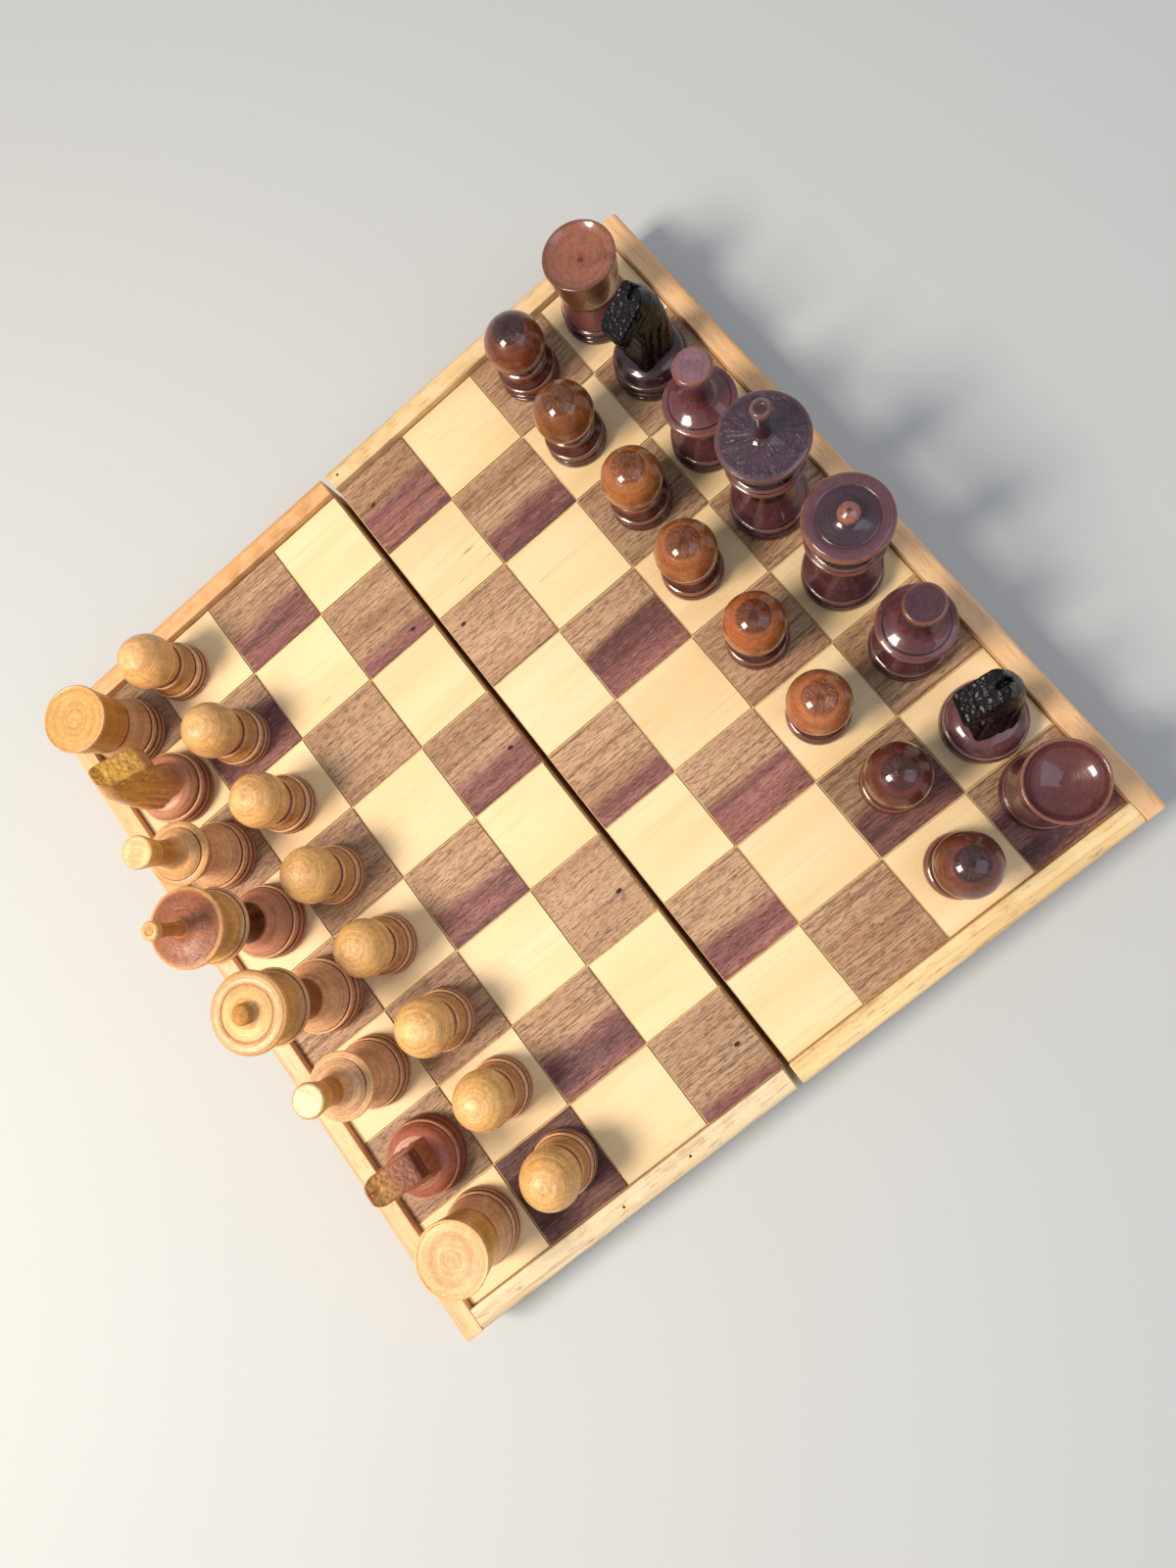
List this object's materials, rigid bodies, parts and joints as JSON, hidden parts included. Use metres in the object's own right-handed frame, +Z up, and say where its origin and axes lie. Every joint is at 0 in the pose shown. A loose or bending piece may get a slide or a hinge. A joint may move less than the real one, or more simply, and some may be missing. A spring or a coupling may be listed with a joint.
{
  "type": "folding chess set with board",
  "caption": "Folding wooden chess box laid open as a board, with inlaid squares, raised rails, butt hinges, a hook latch and a full set of turned men standing on it.",
  "frame": {"origin": "middle of the footprint of the open board, at the lowest point, under the hinge barrels", "axes": "+X along the files from a to h, +Y along the ranks from the light side to the dark side, +Z up"},
  "size_m": [0.305, 0.3216, 0.1041],
  "materials": {
    "maple_rail": "satin varnished maple",
    "inlaid_squares": "maple and walnut squares, satin varnish",
    "light_turned_wood": "gloss varnished light hardwood, turned",
    "red_knight": "gloss varnished reddish hardwood, carved",
    "dark_turned_wood": "gloss stained dark hardwood, turned",
    "dark_pawn_wood": "gloss stained orange brown hardwood, turned",
    "black_knight": "gloss black stained hardwood, carved",
    "brass": "plain brass"
  },
  "bodies": {
    "near_half": {"near_playing_panel": "inlaid_squares", "near_end_rail": "maple_rail", "near_side_rail_a": "maple_rail", "near_side_rail_h": "maple_rail", "near_seam_rail": "maple_rail", "hinge_a_near_leaf": "brass", "hinge_a_near_screw_1": "brass", "hinge_a_near_screw_2": "brass", "hinge_h_near_leaf": "brass", "hinge_h_near_screw_1": "brass", "hinge_h_near_screw_2": "brass", "hinge_a_pin": "brass", "hinge_h_pin": "brass", "latch_pivot_screw": "brass"},
    "far_half": {"far_playing_panel": "inlaid_squares", "far_end_rail": "maple_rail", "far_side_rail_a": "maple_rail", "far_side_rail_h": "maple_rail", "far_seam_rail": "maple_rail", "hinge_a_far_leaf": "brass", "hinge_a_far_screw_1": "brass", "hinge_a_far_screw_2": "brass", "hinge_h_far_leaf": "brass", "hinge_h_far_screw_1": "brass", "hinge_h_far_screw_2": "brass", "latch_catch_screw": "brass"},
    "latch_hook": {"latch_hook": "brass"},
    "light_rook_a": {"light_rook_a": "light_turned_wood"},
    "light_knight_b": {"light_knight_b": "light_turned_wood"},
    "light_bishop_c": {"light_bishop_c": "light_turned_wood"},
    "light_king": {"light_king": "light_turned_wood"},
    "light_queen": {"light_queen": "light_turned_wood"},
    "light_bishop_f": {"light_bishop_f": "light_turned_wood"},
    "light_knight_g": {"light_knight_g": "red_knight"},
    "light_rook_h": {"light_rook_h": "light_turned_wood"},
    "light_pawn_a": {"light_pawn_a": "light_turned_wood"},
    "light_pawn_b": {"light_pawn_b": "light_turned_wood"},
    "light_pawn_c": {"light_pawn_c": "light_turned_wood"},
    "light_pawn_d": {"light_pawn_d": "light_turned_wood"},
    "light_pawn_e": {"light_pawn_e": "light_turned_wood"},
    "light_pawn_f": {"light_pawn_f": "light_turned_wood"},
    "light_pawn_g": {"light_pawn_g": "light_turned_wood"},
    "light_pawn_h": {"light_pawn_h": "light_turned_wood"},
    "dark_rook_a": {"dark_rook_a": "dark_turned_wood"},
    "dark_knight_b": {"dark_knight_b": "black_knight"},
    "dark_bishop_c": {"dark_bishop_c": "dark_turned_wood"},
    "dark_king": {"dark_king": "dark_turned_wood"},
    "dark_queen": {"dark_queen": "dark_turned_wood"},
    "dark_bishop_f": {"dark_bishop_f": "dark_turned_wood"},
    "dark_knight_g": {"dark_knight_g": "black_knight"},
    "dark_rook_h": {"dark_rook_h": "dark_turned_wood"},
    "dark_pawn_a": {"dark_pawn_a": "dark_pawn_wood"},
    "dark_pawn_b": {"dark_pawn_b": "dark_pawn_wood"},
    "dark_pawn_c": {"dark_pawn_c": "dark_pawn_wood"},
    "dark_pawn_d": {"dark_pawn_d": "dark_pawn_wood"},
    "dark_pawn_e": {"dark_pawn_e": "dark_pawn_wood"},
    "dark_pawn_f": {"dark_pawn_f": "dark_pawn_wood"},
    "dark_pawn_g": {"dark_pawn_g": "dark_pawn_wood"},
    "dark_pawn_h": {"dark_pawn_h": "dark_pawn_wood"}
  },
  "joints": [
    {"name": "board_fold", "type": "hinge", "parent": "near_half", "child": "far_half", "pos_m": [0, 0, 0.0015], "axis": [-1, 0, 0], "range_deg": [0, 180]},
    {"name": "latch_swing", "type": "hinge", "parent": "near_half", "child": "latch_hook", "pos_m": [0, -0.1595, 0.01], "axis": [0, 1, 0], "range_deg": [0, 90]},
    {"name": "light_rook_a_lift", "type": "slide", "parent": "near_half", "child": "light_rook_a", "axis": [0, 0, 1], "range_m": [0, 0.1]},
    {"name": "light_knight_b_lift", "type": "slide", "parent": "near_half", "child": "light_knight_b", "axis": [0, 0, 1], "range_m": [0, 0.1]},
    {"name": "light_bishop_c_lift", "type": "slide", "parent": "near_half", "child": "light_bishop_c", "axis": [0, 0, 1], "range_m": [0, 0.1]},
    {"name": "light_king_lift", "type": "slide", "parent": "near_half", "child": "light_king", "axis": [0, 0, 1], "range_m": [0, 0.1]},
    {"name": "light_queen_lift", "type": "slide", "parent": "near_half", "child": "light_queen", "axis": [0, 0, 1], "range_m": [0, 0.1]},
    {"name": "light_bishop_f_lift", "type": "slide", "parent": "near_half", "child": "light_bishop_f", "axis": [0, 0, 1], "range_m": [0, 0.1]},
    {"name": "light_knight_g_lift", "type": "slide", "parent": "near_half", "child": "light_knight_g", "axis": [0, 0, 1], "range_m": [0, 0.1]},
    {"name": "light_rook_h_lift", "type": "slide", "parent": "near_half", "child": "light_rook_h", "axis": [0, 0, 1], "range_m": [0, 0.1]},
    {"name": "light_pawn_a_lift", "type": "slide", "parent": "near_half", "child": "light_pawn_a", "axis": [0, 0, 1], "range_m": [0, 0.1]},
    {"name": "light_pawn_b_lift", "type": "slide", "parent": "near_half", "child": "light_pawn_b", "axis": [0, 0, 1], "range_m": [0, 0.1]},
    {"name": "light_pawn_c_lift", "type": "slide", "parent": "near_half", "child": "light_pawn_c", "axis": [0, 0, 1], "range_m": [0, 0.1]},
    {"name": "light_pawn_d_lift", "type": "slide", "parent": "near_half", "child": "light_pawn_d", "axis": [0, 0, 1], "range_m": [0, 0.1]},
    {"name": "light_pawn_e_lift", "type": "slide", "parent": "near_half", "child": "light_pawn_e", "axis": [0, 0, 1], "range_m": [0, 0.1]},
    {"name": "light_pawn_f_lift", "type": "slide", "parent": "near_half", "child": "light_pawn_f", "axis": [0, 0, 1], "range_m": [0, 0.1]},
    {"name": "light_pawn_g_lift", "type": "slide", "parent": "near_half", "child": "light_pawn_g", "axis": [0, 0, 1], "range_m": [0, 0.1]},
    {"name": "light_pawn_h_lift", "type": "slide", "parent": "near_half", "child": "light_pawn_h", "axis": [0, 0, 1], "range_m": [0, 0.1]},
    {"name": "dark_rook_a_lift", "type": "slide", "parent": "far_half", "child": "dark_rook_a", "axis": [0, 0, 1], "range_m": [0, 0.1]},
    {"name": "dark_knight_b_lift", "type": "slide", "parent": "far_half", "child": "dark_knight_b", "axis": [0, 0, 1], "range_m": [0, 0.1]},
    {"name": "dark_bishop_c_lift", "type": "slide", "parent": "far_half", "child": "dark_bishop_c", "axis": [0, 0, 1], "range_m": [0, 0.1]},
    {"name": "dark_king_lift", "type": "slide", "parent": "far_half", "child": "dark_king", "axis": [0, 0, 1], "range_m": [0, 0.1]},
    {"name": "dark_queen_lift", "type": "slide", "parent": "far_half", "child": "dark_queen", "axis": [0, 0, 1], "range_m": [0, 0.1]},
    {"name": "dark_bishop_f_lift", "type": "slide", "parent": "far_half", "child": "dark_bishop_f", "axis": [0, 0, 1], "range_m": [0, 0.1]},
    {"name": "dark_knight_g_lift", "type": "slide", "parent": "far_half", "child": "dark_knight_g", "axis": [0, 0, 1], "range_m": [0, 0.1]},
    {"name": "dark_rook_h_lift", "type": "slide", "parent": "far_half", "child": "dark_rook_h", "axis": [0, 0, 1], "range_m": [0, 0.1]},
    {"name": "dark_pawn_a_lift", "type": "slide", "parent": "far_half", "child": "dark_pawn_a", "axis": [0, 0, 1], "range_m": [0, 0.1]},
    {"name": "dark_pawn_b_lift", "type": "slide", "parent": "far_half", "child": "dark_pawn_b", "axis": [0, 0, 1], "range_m": [0, 0.1]},
    {"name": "dark_pawn_c_lift", "type": "slide", "parent": "far_half", "child": "dark_pawn_c", "axis": [0, 0, 1], "range_m": [0, 0.1]},
    {"name": "dark_pawn_d_lift", "type": "slide", "parent": "far_half", "child": "dark_pawn_d", "axis": [0, 0, 1], "range_m": [0, 0.1]},
    {"name": "dark_pawn_e_lift", "type": "slide", "parent": "far_half", "child": "dark_pawn_e", "axis": [0, 0, 1], "range_m": [0, 0.1]},
    {"name": "dark_pawn_f_lift", "type": "slide", "parent": "far_half", "child": "dark_pawn_f", "axis": [0, 0, 1], "range_m": [0, 0.1]},
    {"name": "dark_pawn_g_lift", "type": "slide", "parent": "far_half", "child": "dark_pawn_g", "axis": [0, 0, 1], "range_m": [0, 0.1]},
    {"name": "dark_pawn_h_lift", "type": "slide", "parent": "far_half", "child": "dark_pawn_h", "axis": [0, 0, 1], "range_m": [0, 0.1]}
  ]
}
